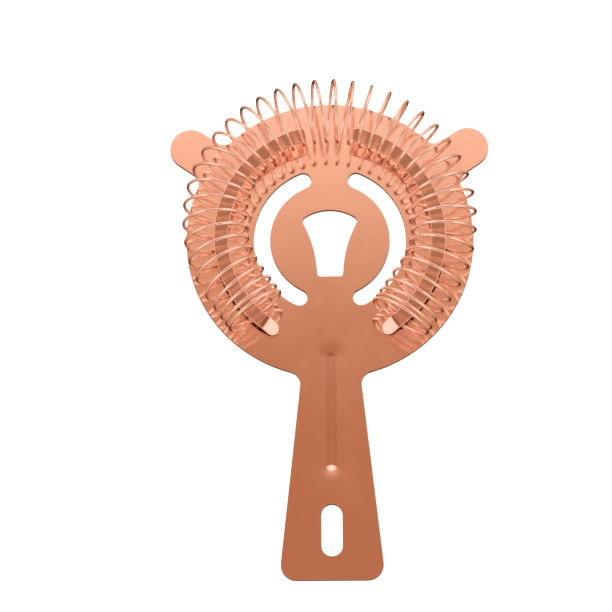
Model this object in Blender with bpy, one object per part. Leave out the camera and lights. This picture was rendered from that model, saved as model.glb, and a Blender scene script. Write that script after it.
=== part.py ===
"""Hawthorne strainer: a stamped, two-eared strainer plate with a flat handle, two curved
retaining arms welded to its face, and one coil spring threaded over the arms.

The strainer lies on its back: +Z points out of the face that carries the spring, +Y runs
from the handle to the front of the spring, and X is symmetric. Units are metres.
The origin is at the bottom centre of the whole strainer's bounding box.
"""

import math

import bmesh
import bpy
from mathutils import Vector
from mathutils.geometry import delaunay_2d_cdt

MM = 0.001
SMALLEST_EDGE = 0.001 * MM       # points closer than this are one point
ARC_TOLERANCE = 0.009 * MM       # how far an arc's straight pieces may cut inside its circle
SHARP_ANGLE = math.radians(35)   # faces that meet at more than this keep a hard edge

# --- clearances between pieces -----------------------------------------------------------
TOUCH_GAP = 0.3 * MM
ARM_TIP_PLAY = 0.26 * MM         # inside of the coil to the lower edge of an arm's free end
ARM_BEND_PLAY = 0.32 * MM        # inside of the coil to the arm's edge where it turns down

# --- strainer plate: one stamping --------------------------------------------------------
PLATE_THICKNESS = 1.2 * MM
DISC_RADIUS = 40.6 * MM
EAR_RADIUS = 5.85 * MM
EAR_OVERHANG = 7.4 * MM          # disc's rim to the centre of an ear's round end
EAR_ANGLE = math.radians(34.9)   # above the X axis
EAR_BLEND = 3.0 * MM             # fillet between ear and disc
HANDLE_LENGTH = 58.8 * MM        # from the disc's rim to the handle's end
HANDLE_END_WIDTH = 29.7 * MM
NECK_WIDTH = 17.6 * MM
NECK_BLEND = 3.5 * MM            # fillet between handle and disc
HANDLE_CORNER = 4.5 * MM

# --- openings in the plate ---------------------------------------------------------------
ARC_SLOT_INNER = 16.9 * MM
ARC_SLOT_WIDTH = 4.6 * MM
ARC_SLOT_TOP = math.radians(67.0)      # centre of the slot's upper round end
ARC_SLOT_BOTTOM = math.radians(-63.0)  # centre of the slot's lower round end
BELL_TOP = 8.9 * MM
BELL_BOTTOM = -10.8 * MM
BELL_SHOULDER = 6.0 * MM               # height at which the bell is widest
BELL_MOUTH_WIDTH = 16.2 * MM
BELL_FOOT_WIDTH = 7.3 * MM
BELL_FOOT_CORNER = 0.8 * MM
BELL_SHOULDER_CORNER = 1.3 * MM
HANG_SLOT_WIDTH = 5.85 * MM
HANG_SLOT_LENGTH = 15.0 * MM
HANG_SLOT_INSET = 14.35 * MM           # handle end to the slot's centre

# --- stiffening bead pressed into the handle ----------------------------------------------
BEAD_DEPTH = 0.5 * MM
BEAD_WIDTH = 11.0 * MM
BEAD_INSET = 11.6 * MM                 # the bead's upper end inside the disc's rim
BEAD_TO_SLOT = 5.9 * MM                # the bead's lower end to the hang slot
BEAD_FOLD_SOFTNESS = 0.5               # 0 gives a sharp fold line, 2 a flat valley
BEAD_SPOKES = 10                       # round each end of the fold line
BEAD_ROWS = 16                         # along the fold line
BEAD_COLUMNS = (0.0, 0.1, 0.28, 0.5, 0.75, 1.0)    # from the fold line to the bead's edge

# --- retaining arms ----------------------------------------------------------------------
ARM_WIDTH = 4.0 * MM
ARM_THICKNESS = 1.0 * MM
ARM_CENTRE_DROP = 0.6 * MM             # the arms' circle sits this far towards the handle
ARM_TIP_ANGLE = math.radians(12.6)     # free end, measured from +Y
ARM_BEND_ANGLE = math.radians(143.5)   # where the arm turns down to the plate
ARM_TIP_CORNER = 1.1 * MM
ARM_TIP_GAP = 5.8 * MM                 # plate to the underside of the free end
ARM_SECTIONS = 36                      # along the curved part
CORNER_SECTIONS = 4
FOOT_LENGTH = 4.2 * MM
FOOT_SLOPE = 0.8                       # share of the foot's length that slopes down
FOOT_TOE_WIDTH = 0.12                  # share of the width left at the foot's very end
FOOT_SLOPE_SECTIONS = 5
FOOT_TOE_SECTIONS = 7

# --- coil spring -------------------------------------------------------------------------
WIRE_DIAMETER = 0.9 * MM
COIL_DIAMETER = 18.3 * MM              # outside of the coil
RING_INSET = 8.2 * MM                  # the disc's rim to the circle that the coil is bent to
RING_RISE = 2.9 * MM                   # the ring's centre sits this far towards the front
FRONT_SHIFT = 0.9 * MM                 # the front turn's outermost point sits right of the middle
OPEN_TURNS = 16                        # evenly spaced, on each side of the front turn
CLOSING_TURNS = 4                      # drawing together, at each end
CLOSED_PITCH = 1.3 * MM                # pitch reached at the last full turn
END_SETBACK = 1.5 * MM                 # the last full turn stops this far before the arm's bend
STRAIGHT_END = 11.5 * MM                # the last part of each half, which isn't bent to the ring
TAIL_TURN = 0.62                       # part turn after the last one, at the right end
LEAD_TURN = 0.17                       # part turn before the first one, at the left end
POINTS_PER_TURN = 16

# --- derived places ----------------------------------------------------------------------
EAR_REACH = DISC_RADIUS + EAR_OVERHANG
HANDLE_END_Y = -(DISC_RADIUS + HANDLE_LENGTH)
HANG_SLOT_Y = HANDLE_END_Y + HANG_SLOT_INSET
BEAD_TOP_Y = BEAD_INSET - DISC_RADIUS
BEAD_LOW_Y = HANG_SLOT_Y + HANG_SLOT_LENGTH / 2 + BEAD_TO_SLOT
PLATE_BACK_Z = BEAD_DEPTH
PLATE_FACE_Z = PLATE_BACK_Z + PLATE_THICKNESS
COIL_RADIUS = (COIL_DIAMETER - WIRE_DIAMETER) / 2
COIL_BORE_RADIUS = COIL_DIAMETER / 2 - WIRE_DIAMETER
COIL_AXIS_GAP = TOUCH_GAP + COIL_DIAMETER / 2      # plate to the coil's axis
COIL_AXIS_Z = PLATE_FACE_Z + COIL_AXIS_GAP
RING_RADIUS = DISC_RADIUS - RING_INSET
SPRING_FRONT_Y = RING_RISE + RING_RADIUS + COIL_DIAMETER / 2
DISC_CENTRE_Y = -(SPRING_FRONT_Y + HANDLE_END_Y) / 2

COPPER = (0.72, 0.36, 0.24, 1.0)


def arm_radius():
    """Radius of the arms' middle line: the free end's lower inner edge just clears the coil."""
    depth = COIL_AXIS_GAP - ARM_TIP_GAP
    aside = math.sqrt((COIL_BORE_RADIUS - ARM_TIP_PLAY) ** 2 - depth ** 2)
    from_ring = RING_RADIUS - aside
    between_centres = RING_RISE + ARM_CENTRE_DROP
    across = between_centres * math.sin(ARM_TIP_ANGLE)
    inner = between_centres * math.cos(ARM_TIP_ANGLE) + math.sqrt(from_ring ** 2 - across ** 2)
    return inner + ARM_WIDTH / 2


ARM_RADIUS = arm_radius()
ARM_RUN = (ARM_BEND_ANGLE - ARM_TIP_ANGLE) * ARM_RADIUS    # free end to where it turns down
ARM_LENGTH = ARM_RUN + FOOT_LENGTH


def around_ring(radius, angle):
    """A point on the arms' circles as its distance and its angle from the front on the ring."""
    x = radius * math.sin(angle)
    y = radius * math.cos(angle) - ARM_CENTRE_DROP - RING_RISE
    return math.hypot(x, y), math.atan2(x, y)


LAST_TURN = OPEN_TURNS + CLOSING_TURNS
BEND_ANGLE_ON_RING = around_ring(ARM_RADIUS, ARM_BEND_ANGLE)[1]
HALF_SPRING = RING_RADIUS * BEND_ANGLE_ON_RING - END_SETBACK    # front to the last full turn
COIL_PITCH = (HALF_SPRING - CLOSING_TURNS * CLOSED_PITCH / 2) / (OPEN_TURNS + CLOSING_TURNS / 2)
BENT_HALF = HALF_SPRING - STRAIGHT_END          # front to where the coil's axis runs straight


def coil_axis(travel):
    """The coil's axis at a travel from the front: its place, and which way is outward."""
    bent = max(-BENT_HALF, min(travel, BENT_HALF))
    angle = math.pi / 2 - bent / RING_RADIUS
    outward = Vector((math.cos(angle), math.sin(angle)))
    along = Vector((outward.y, -outward.x))
    return outward * RING_RADIUS + along * (travel - bent), outward


def arm_bend_gap():
    """Plate to the underside of an arm where it turns down, clear of the coil's bore."""
    axis, outward = coil_axis(HALF_SPRING)
    aside = 0.0
    for edge in (ARM_RADIUS - ARM_WIDTH / 2, ARM_RADIUS + ARM_WIDTH / 2):
        reach, angle = around_ring(edge, ARM_BEND_ANGLE)
        corner = Vector((math.sin(angle), math.cos(angle))) * reach
        aside = max(aside, abs((corner - axis).dot(outward)))
    return COIL_AXIS_GAP - math.sqrt(COIL_BORE_RADIUS ** 2 - aside ** 2) + ARM_BEND_PLAY


ARM_BEND_GAP = arm_bend_gap()


def arc(centre, radius, start, end):
    """Points on a circle from angle start to angle end, both included."""
    step = 2 * math.acos(1 - ARC_TOLERANCE / radius)
    steps = math.ceil(abs(end - start) / step)
    return [
        Vector((
            centre[0] + radius * math.cos(start + (end - start) * i / steps),
            centre[1] + radius * math.sin(start + (end - start) * i / steps),
        ))
        for i in range(steps + 1)
    ]


def rounded_corner(before, corner, after, radius):
    """Points of a fillet of the given radius at a corner between two straight runs."""
    to_before = (before - corner).normalized()
    to_after = (after - corner).normalized()
    half_angle = to_before.angle(to_after) / 2
    setback = radius / math.tan(half_angle)
    centre = corner + (to_before + to_after).normalized() * (radius / math.sin(half_angle))
    first = corner + to_before * setback - centre
    last = corner + to_after * setback - centre
    sweep = first.angle_signed(last)
    turn = math.atan2(first.y, first.x)
    return arc(centre, radius, turn, turn - sweep)


def mirrored(points):
    """The other half of an outline that is symmetric about X = 0, in reverse order."""
    return [Vector((-p.x, p.y)) for p in reversed(points)]


def disc_to_line_fillet(anchor, direction, radius):
    """Centre of the fillet that touches the disc from outside and a straight edge.

    The edge passes through anchor along direction, and the fillet lies on its right side.
    """
    side = Vector((direction.y, -direction.x))
    start = anchor + side * radius
    reach = DISC_RADIUS + radius
    along = -start.dot(direction)
    height = start.dot(side)
    run = math.sqrt(reach ** 2 - height ** 2)
    return start + direction * (along - run)


def plate_outline():
    """Right half of the plate from the front of the disc to the handle's end, then its mirror."""
    radial = Vector((math.cos(EAR_ANGLE), math.sin(EAR_ANGLE)))
    normal = Vector((-radial.y, radial.x))
    ear = radial * EAR_REACH
    blend_height = EAR_RADIUS + EAR_BLEND
    blend_reach = math.sqrt((DISC_RADIUS + EAR_BLEND) ** 2 - blend_height ** 2)
    upper = radial * blend_reach + normal * blend_height
    lower = radial * blend_reach - normal * blend_height
    upper_turn = math.atan2(upper.y, upper.x)
    lower_turn = math.atan2(lower.y, lower.x)
    quarter = math.pi / 2

    neck = Vector((NECK_WIDTH / 2, -(DISC_RADIUS + NECK_BLEND)))
    heel = Vector((HANDLE_END_WIDTH / 2, HANDLE_END_Y))
    upward = (neck - heel).normalized()
    fillet = disc_to_line_fillet(heel, upward, NECK_BLEND)
    fillet_turn = math.atan2(fillet.y, fillet.x)
    edge_turn = math.atan2(-upward.x, upward.y)

    points = arc((0, 0), DISC_RADIUS, quarter, upper_turn)
    points += arc(upper, EAR_BLEND, upper_turn + math.pi, EAR_ANGLE + 3 * quarter)
    points += arc(ear, EAR_RADIUS, EAR_ANGLE + quarter, EAR_ANGLE - quarter)
    points += arc(lower, EAR_BLEND, EAR_ANGLE + quarter, lower_turn + math.pi)
    points += arc((0, 0), DISC_RADIUS, lower_turn, fillet_turn)
    points += arc(fillet, NECK_BLEND, fillet_turn + math.pi, math.pi + edge_turn)
    points += rounded_corner(neck, heel, Vector((0, HANDLE_END_Y)), HANDLE_CORNER)
    return without_doubles(points + mirrored(points))


def bell_outline():
    """Right half of the bell-shaped opening from its crown to its flat foot, then its mirror."""
    crown = Vector((0, BELL_TOP))
    shoulder = Vector((BELL_MOUTH_WIDTH / 2, BELL_SHOULDER))
    foot = Vector((BELL_FOOT_WIDTH / 2, BELL_BOTTOM))
    crown_radius = (shoulder.x ** 2 + (crown.y - shoulder.y) ** 2) / (2 * (crown.y - shoulder.y))
    crown_centre = Vector((0, BELL_TOP - crown_radius))
    crown_end = math.asin((shoulder.y - crown_centre.y) / crown_radius)
    top = arc(crown_centre, crown_radius, math.pi / 2, crown_end)
    rise = shoulder.y - foot.y
    flare = shoulder.x - foot.x
    side_radius = (rise ** 2 + flare ** 2) / (2 * flare)
    side_centre = Vector((foot.x + side_radius, foot.y))
    side_end = math.pi - math.asin(rise / side_radius)
    side = arc(side_centre, side_radius, side_end, math.pi)
    top = clear_of(top, shoulder, BELL_SHOULDER_CORNER)
    side = clear_of(clear_of(side, shoulder, BELL_SHOULDER_CORNER), foot, BELL_FOOT_CORNER)
    shoulder_bend = quadratic(top[-1], shoulder, side[0])
    foot_bend = quadratic(side[-1], foot, Vector((foot.x - BELL_FOOT_CORNER, foot.y)))
    points = top + shoulder_bend + side + foot_bend
    return without_doubles(points + mirrored(points))


def clear_of(points, corner, distance):
    """The points that lie further than distance from a corner."""
    return [p for p in points if (p - corner).length > distance]


def quadratic(first, control, last):
    """A smooth corner: a quadratic curve drawn towards its control point."""
    steps = 6
    return [
        first * (1 - t) ** 2 + control * (2 * t * (1 - t)) + last * t ** 2
        for t in (i / steps for i in range(steps + 1))
    ]


def arc_slot_outline():
    """A curved slot with round ends, on the right of the disc's centre."""
    inner = ARC_SLOT_INNER
    outer = ARC_SLOT_INNER + ARC_SLOT_WIDTH
    middle = (inner + outer) / 2
    cap = ARC_SLOT_WIDTH / 2
    top_cap = (middle * math.cos(ARC_SLOT_TOP), middle * math.sin(ARC_SLOT_TOP))
    low_cap = (middle * math.cos(ARC_SLOT_BOTTOM), middle * math.sin(ARC_SLOT_BOTTOM))
    points = arc((0, 0), outer, ARC_SLOT_BOTTOM, ARC_SLOT_TOP)
    points += arc(top_cap, cap, ARC_SLOT_TOP, ARC_SLOT_TOP + math.pi)
    points += arc((0, 0), inner, ARC_SLOT_TOP, ARC_SLOT_BOTTOM)
    points += arc(low_cap, cap, ARC_SLOT_BOTTOM + math.pi, ARC_SLOT_BOTTOM + 2 * math.pi)
    return without_doubles(points)


def hang_slot_outline():
    """The straight slot with round ends near the handle's end."""
    half_run = (HANG_SLOT_LENGTH - HANG_SLOT_WIDTH) / 2
    radius = HANG_SLOT_WIDTH / 2
    points = arc((0, HANG_SLOT_Y + half_run), radius, 0, math.pi)
    points += arc((0, HANG_SLOT_Y - half_run), radius, math.pi, 2 * math.pi)
    return without_doubles(points)


def without_doubles(points):
    """An outline with repeated neighbours removed, also across its two ends."""
    kept = []
    for point in points:
        if not kept or (point - kept[-1]).length > SMALLEST_EDGE:
            kept.append(point)
    if (kept[0] - kept[-1]).length <= SMALLEST_EDGE:
        kept.pop()
    return kept


def add_piece(name, data, material, height=0.0):
    """Link a piece that is modelled about the disc's centre, with its material, in its place."""
    data.materials.append(material)
    piece = bpy.data.objects.new(name, data)
    piece.location = (0, DISC_CENTRE_Y, height)
    bpy.context.collection.objects.link(piece)


def finish_mesh(name, bm):
    """Write a bmesh to a mesh with outward faces and smooth round parts."""
    bmesh.ops.recalc_face_normals(bm, faces=bm.faces)
    mesh = bpy.data.meshes.new(name)
    bm.to_mesh(mesh)
    bm.free()
    mesh.shade_smooth()
    mesh.set_sharp_from_angle(angle=SHARP_ANGLE)
    return mesh


def is_inside(point, loop):
    """Whether a point lies inside a closed loop of points."""
    inside = False
    for a, b in zip(loop, loop[1:] + loop[:1]):
        if (a.y > point.y) != (b.y > point.y):
            if point.x < a.x + (point.y - a.y) * (b.x - a.x) / (b.y - a.y):
                inside = not inside
    return inside


def smooth_step(t):
    """0 to 1 as t goes from 0 to 1, level at both ends."""
    t = max(0.0, min(1.0, t))
    return t * t * (3 - 2 * t)


def bead_drop(x, y):
    """How far the bead presses the sheet down: a V all round a straight fold line."""
    reach = BEAD_WIDTH / 2
    beyond = y - max(BEAD_LOW_Y + reach, min(y, BEAD_TOP_Y - reach))
    u = min(1.0, math.hypot(x, beyond) / reach)
    return BEAD_DEPTH * (1 - u) ** 2 * (1 + BEAD_FOLD_SOFTNESS * u)


def bead_points():
    """Points on rings round the fold line, so that the sheet can follow the bead."""
    reach = BEAD_WIDTH / 2
    top, low = BEAD_TOP_Y - reach, BEAD_LOW_Y + reach
    points = []
    for u in BEAD_COLUMNS:
        for i in range(BEAD_SPOKES + 1):
            turn = math.pi * i / BEAD_SPOKES
            aside = Vector((math.cos(turn), math.sin(turn))) * u * reach
            points += [Vector((0, top)) + aside, Vector((0, low)) - aside]
        for row in range(1, BEAD_ROWS):
            y = low + (top - low) * row / BEAD_ROWS
            points += [Vector((-u * reach, y)), Vector((u * reach, y))]
    return without_doubles(points)


def sheet(name, outer, holes, inner, low, thickness):
    """A flat sheet with holes, triangulated through the inner points and given its thickness."""
    points, edges = [], []
    for loop in [outer] + holes:
        first = len(points)
        points += loop
        edges += [(first + i, first + (i + 1) % len(loop)) for i in range(len(loop))]
    points += inner
    inside_constraints = 1
    spots, _, triangles, *_ = delaunay_2d_cdt(
        points, edges, [], inside_constraints, SMALLEST_EDGE)
    bm = bmesh.new()
    verts = [bm.verts.new((spot.x, spot.y, low)) for spot in spots]
    for triangle in triangles:
        middle = sum((spots[i] for i in triangle), Vector((0, 0))) / 3
        if not any(is_inside(middle, hole) for hole in holes):
            bm.faces.new([verts[i] for i in triangle])
    grown = bmesh.ops.extrude_face_region(bm, geom=bm.faces[:])["geom"]
    top = [item for item in grown if isinstance(item, bmesh.types.BMVert)]
    bmesh.ops.translate(bm, verts=top, vec=(0, 0, thickness))
    for vert in bm.verts:
        vert.co.z -= bead_drop(vert.co.x, vert.co.y)
    return finish_mesh(name, bm)


def make_plate(material):
    """The stamping: disc, ears, handle, its openings and the pressed bead."""
    right_slot = arc_slot_outline()
    openings = [bell_outline(), hang_slot_outline(), right_slot, mirrored(right_slot)]
    mesh = sheet("strainer_plate", plate_outline(), openings, bead_points(),
                 PLATE_BACK_Z, PLATE_THICKNESS)
    add_piece("strainer_plate", mesh, material)


def arm_path(run):
    """Centre of the right arm at a distance from its free end: place and sideways direction."""
    angle = math.pi / 2 - ARM_TIP_ANGLE - min(run, ARM_RUN) / ARM_RADIUS
    outward = Vector((math.cos(angle), math.sin(angle)))
    along = Vector((outward.y, -outward.x))
    centre = Vector((0, -ARM_CENTRE_DROP)) + outward * ARM_RADIUS
    return centre + along * max(0.0, run - ARM_RUN), outward


def arm_underside(run, y):
    """Height of the arm's underside over the plate: a flat incline, then the foot's slope."""
    if run > ARM_RUN:
        down = smooth_step((run - ARM_RUN) / (FOOT_SLOPE * FOOT_LENGTH))
        return ARM_BEND_GAP + (TOUCH_GAP - ARM_BEND_GAP) * down
    bend_y = arm_path(ARM_RUN)[0].y
    tip_y = arm_path(0.0)[0].y
    return ARM_BEND_GAP + (ARM_TIP_GAP - ARM_BEND_GAP) * (y - bend_y) / (tip_y - bend_y)


def arm_half_width(run):
    """Half the strip's width: rounded corners at the free end, a round foot at the other."""
    half = ARM_WIDTH / 2
    if run < ARM_TIP_CORNER:
        back = ARM_TIP_CORNER - run
        return half - ARM_TIP_CORNER + math.sqrt(ARM_TIP_CORNER ** 2 - back ** 2)
    if run > ARM_LENGTH - half:
        back = run - (ARM_LENGTH - half)
        return math.sqrt(max(half ** 2 - back ** 2, (FOOT_TOE_WIDTH * half) ** 2))
    return half


def spread(start, end, count):
    """Evenly spaced values after start, up to and with end."""
    return [start + (end - start) * i / count for i in range(1, count + 1)]


def arm_stations():
    """Distances from the free end at which the strip has a cross-section."""
    toe_start = ARM_LENGTH - ARM_WIDTH / 2
    quarter = math.pi / 2
    stations = [0.0]
    stations += [ARM_TIP_CORNER * (1 - math.cos(a)) for a in spread(0, quarter, CORNER_SECTIONS)]
    stations += spread(ARM_TIP_CORNER, ARM_RUN, ARM_SECTIONS)
    stations += spread(ARM_RUN, toe_start, FOOT_SLOPE_SECTIONS)
    stations += [toe_start + ARM_WIDTH / 2 * math.sin(a)
                 for a in spread(0, quarter, FOOT_TOE_SECTIONS)]
    return stations


def make_arm(name, side, material):
    """A curved flat strip, welded to the plate by its bent foot. Side is 1 right, -1 left."""
    bm = bmesh.new()
    rings = []
    for run in arm_stations():
        centre, outward = arm_path(run)
        half = arm_half_width(run)
        low = PLATE_FACE_Z + arm_underside(run, centre.y)
        high = low + ARM_THICKNESS
        ring = []
        for across, height in ((-half, low), (half, low), (half, high), (-half, high)):
            spot = centre + outward * across
            ring.append(bm.verts.new((side * spot.x, spot.y, height)))
        rings.append(ring)
    for ring, following in zip(rings, rings[1:]):
        for i in range(len(ring)):
            bm.faces.new((ring[i - 1], ring[i], following[i], following[i - 1]))
    bm.faces.new(rings[0])
    bm.faces.new(rings[-1])
    add_piece(name, finish_mesh(name, bm), material)


def ring_travel(turn):
    """Distance along the ring from its front to a turn. The pitch shrinks evenly at the ends."""
    count = abs(turn)
    closing = max(0.0, min(count - OPEN_TURNS, CLOSING_TURNS))
    past = max(0.0, count - LAST_TURN)
    shrink = (COIL_PITCH - CLOSED_PITCH) / CLOSING_TURNS
    travel = COIL_PITCH * (count - past) - shrink * closing ** 2 / 2 + CLOSED_PITCH * past
    return FRONT_SHIFT + math.copysign(travel, turn)


def coil_point(turn):
    """A point on the wire's centre line; turn 0 is the outermost point of the front turn."""
    axis, outward = coil_axis(ring_travel(turn))
    phase = 2 * math.pi * turn
    reach = axis + outward * (COIL_RADIUS * math.cos(phase))
    return Vector((reach.x, RING_RISE + reach.y, COIL_RADIUS * math.sin(phase)))


def make_spring(material):
    """One round wire wound as a coil and bent round the front of the disc."""
    first = -LAST_TURN - LEAD_TURN
    last = LAST_TURN + TAIL_TURN
    after_first = math.floor(first * POINTS_PER_TURN) + 1
    before_last = math.ceil(last * POINTS_PER_TURN)
    turns = [count / POINTS_PER_TURN for count in range(after_first, before_last)]
    turns = [first] + turns + [last]
    curve = bpy.data.curves.new("coil_spring", "CURVE")
    curve.dimensions = "3D"
    curve.bevel_depth = WIRE_DIAMETER / 2
    curve.bevel_resolution = 1
    curve.use_fill_caps = True
    spline = curve.splines.new("POLY")
    spline.points.add(len(turns) - 1)
    for point, turn in zip(spline.points, turns):
        point.co = (*coil_point(turn), 1)
    add_piece("coil_spring", curve, material, COIL_AXIS_Z)


def copper_finish(name, roughness):
    """Polished copper-coloured plating over stainless steel."""
    material = bpy.data.materials.new(name)
    material.use_nodes = True
    shader = material.node_tree.nodes["Principled BSDF"]
    shader.inputs["Base Color"].default_value = COPPER
    shader.inputs["Metallic"].default_value = 1.0
    shader.inputs["Roughness"].default_value = roughness
    return material


def main():
    for thing in list(bpy.data.objects):
        bpy.data.objects.remove(thing)
    make_plate(copper_finish("plate_copper", 0.18))
    make_arm("retaining_arm_left", -1, copper_finish("arm_left_copper", 0.22))
    make_arm("retaining_arm_right", 1, copper_finish("arm_right_copper", 0.22))
    make_spring(copper_finish("spring_wire_copper", 0.15))
    bpy.context.view_layer.update()


main()
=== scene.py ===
# %% [markdown]
# # A copper hawthorne strainer
#
# A hawthorne strainer is a bar tool. A flat stamped plate with two ears and a handle lies on
# the rim of a shaker, and a coil spring bent round its front holds back the ice. Two thin
# curved arms, welded to the plate, run inside the coil and keep it in place.
#
# This script builds the finished look around a fixed frame: the four solids of the strainer,
# each already in its place, in metres. Every piece made here takes its place from them.

# %% Load the frame
import math

import bmesh
import bpy
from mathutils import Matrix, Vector
from mathutils.geometry import delaunay_2d_cdt


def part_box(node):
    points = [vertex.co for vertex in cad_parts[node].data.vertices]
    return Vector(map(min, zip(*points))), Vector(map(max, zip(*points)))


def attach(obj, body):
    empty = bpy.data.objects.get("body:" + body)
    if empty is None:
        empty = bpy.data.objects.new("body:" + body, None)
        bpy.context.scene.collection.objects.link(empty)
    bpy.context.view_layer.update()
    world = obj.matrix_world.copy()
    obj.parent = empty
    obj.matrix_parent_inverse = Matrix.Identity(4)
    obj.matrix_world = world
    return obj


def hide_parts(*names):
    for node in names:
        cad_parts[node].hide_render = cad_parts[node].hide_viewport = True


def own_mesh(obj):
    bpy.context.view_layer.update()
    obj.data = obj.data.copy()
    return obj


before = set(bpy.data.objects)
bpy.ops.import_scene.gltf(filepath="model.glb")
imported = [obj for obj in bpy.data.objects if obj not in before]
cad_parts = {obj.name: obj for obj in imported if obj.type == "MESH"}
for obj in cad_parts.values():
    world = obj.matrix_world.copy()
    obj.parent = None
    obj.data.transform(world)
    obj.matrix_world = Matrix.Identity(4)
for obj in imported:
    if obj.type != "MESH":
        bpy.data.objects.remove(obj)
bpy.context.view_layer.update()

MM = 0.001
print("frame nodes:", sorted(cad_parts))

# %% [markdown]
# ## Reading places from the frame
#
# Heights and centres are never typed in twice. The plate's top face is the highest point of
# the plate's box, the handle ends at its lowest Y, and the spring's box gives the coil's
# diameter and the height of its axis. Only the sizes that a box can't tell, such as the
# width of a slot, are written down as named values.

# %% Plate, handle and spring as the frame gives them
DISC_RADIUS = 40.6 * MM
PLATE_THICKNESS = 1.2 * MM

plate_low, plate_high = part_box("strainer_plate")
spring_low, spring_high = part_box("coil_spring")
DISC_Y = plate_high.y - DISC_RADIUS
HANDLE_END = plate_low.y - DISC_Y
FACE_Z = plate_high.z
BACK_Z = FACE_Z - PLATE_THICKNESS
BEAD_DEPTH = BACK_Z - plate_low.z
COIL_DIAMETER = spring_high.z - spring_low.z
COIL_AXIS_Z = (spring_high.z + spring_low.z) / 2
print(f"disc centre at Y {DISC_Y / MM:.2f} mm, plate face at Z {FACE_Z / MM:.2f} mm")
print(f"coil {COIL_DIAMETER / MM:.2f} mm across, its axis at Z {COIL_AXIS_Z / MM:.2f} mm")

# %% [markdown]
# ## Outlines from arcs
#
# A stamped plate is a flat outline with a thickness. Its outline here is a chain of arcs and
# straight runs, worked out from radii and angles, because arcs stay round at any zoom and a
# hand-drawn list of points doesn't. Each arc picks its own number of steps from how far a
# straight piece may cut inside the circle.

# %% Arcs, fillets and mirrored halves
ARC_TOLERANCE = 0.002 * MM
SMALLEST_EDGE = 0.001 * MM


def arc(centre, radius, start, end):
    """Points on a circle from angle start to angle end, both included."""
    step = 2 * math.acos(1 - ARC_TOLERANCE / radius)
    steps = math.ceil(abs(end - start) / step)
    return [
        Vector((
            centre[0] + radius * math.cos(start + (end - start) * i / steps),
            centre[1] + radius * math.sin(start + (end - start) * i / steps),
        ))
        for i in range(steps + 1)
    ]


def rounded_corner(before, corner, after, radius):
    """Points of a fillet at a corner between two straight runs."""
    to_before = (before - corner).normalized()
    to_after = (after - corner).normalized()
    half_angle = to_before.angle(to_after) / 2
    centre = corner + (to_before + to_after).normalized() * (radius / math.sin(half_angle))
    first = corner + to_before * (radius / math.tan(half_angle)) - centre
    last = corner + to_after * (radius / math.tan(half_angle)) - centre
    turn = math.atan2(first.y, first.x)
    return arc(centre, radius, turn, turn - first.angle_signed(last))


def mirrored(points):
    """The other half of an outline that is symmetric about X = 0, in reverse order."""
    return [Vector((-p.x, p.y)) for p in reversed(points)]


def without_doubles(points):
    """A closed outline with repeated neighbours removed."""
    kept = []
    for point in points:
        if not kept or (point - kept[-1]).length > SMALLEST_EDGE:
            kept.append(point)
    if (kept[0] - kept[-1]).length <= SMALLEST_EDGE:
        kept.pop()
    return kept


# %% [markdown]
# The ears blend into the disc, and the handle into the disc, with fillets. The centre of a
# fillet that touches a circle from outside lies on a larger circle, one fillet radius out,
# so its place follows from Pythagoras.

# %% The plate's outline
EAR_RADIUS = 5.85 * MM
EAR_REACH = DISC_RADIUS + 7.4 * MM
EAR_ANGLE = math.radians(34.9)
EAR_BLEND = 3.0 * MM
HANDLE_END_WIDTH = 29.7 * MM
NECK_WIDTH = 17.6 * MM
NECK_BLEND = 3.5 * MM
HANDLE_CORNER = 4.5 * MM


def ear_points():
    """From the disc's front round the right ear, as far as the disc below it."""
    radial = Vector((math.cos(EAR_ANGLE), math.sin(EAR_ANGLE)))
    normal = Vector((-radial.y, radial.x))
    height = EAR_RADIUS + EAR_BLEND
    reach = math.sqrt((DISC_RADIUS + EAR_BLEND) ** 2 - height ** 2)
    upper = radial * reach + normal * height
    lower = radial * reach - normal * height
    upper_turn = math.atan2(upper.y, upper.x)
    lower_turn = math.atan2(lower.y, lower.x)
    quarter = math.pi / 2
    points = arc((0, 0), DISC_RADIUS, quarter, upper_turn)
    points += arc(upper, EAR_BLEND, upper_turn + math.pi, EAR_ANGLE + 3 * quarter)
    points += arc(radial * EAR_REACH, EAR_RADIUS, EAR_ANGLE + quarter, EAR_ANGLE - quarter)
    points += arc(lower, EAR_BLEND, EAR_ANGLE + quarter, lower_turn + math.pi)
    return points, lower_turn


def handle_points(disc_turn):
    """From the disc below the ear, down the right side of the handle to its end."""
    neck = Vector((NECK_WIDTH / 2, -(DISC_RADIUS + NECK_BLEND)))
    heel = Vector((HANDLE_END_WIDTH / 2, HANDLE_END))
    upward = (neck - heel).normalized()
    side = Vector((upward.y, -upward.x))
    start = heel + side * NECK_BLEND
    run = math.sqrt((DISC_RADIUS + NECK_BLEND) ** 2 - start.dot(side) ** 2)
    fillet = start - upward * (start.dot(upward) + run)
    fillet_turn = math.atan2(fillet.y, fillet.x)
    edge_turn = math.atan2(-upward.x, upward.y)
    points = arc((0, 0), DISC_RADIUS, disc_turn, fillet_turn)
    points += arc(fillet, NECK_BLEND, fillet_turn + math.pi, math.pi + edge_turn)
    return points + rounded_corner(neck, heel, Vector((0, HANDLE_END)), HANDLE_CORNER)


def plate_outline():
    """The whole outline of the plate about the disc's centre."""
    right, disc_turn = ear_points()
    right += handle_points(disc_turn)
    return without_doubles(right + mirrored(right))


print("plate outline:", len(plate_outline()), "points")

# %% [markdown]
# ## The openings
#
# Liquid pours through a bell-shaped opening and two curved slots. A straight slot at the
# handle's end takes a hook. The bell has a curved crown and two curved sides, and its
# corners are drawn as small quadratic curves, as a worn punch leaves them.

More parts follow.
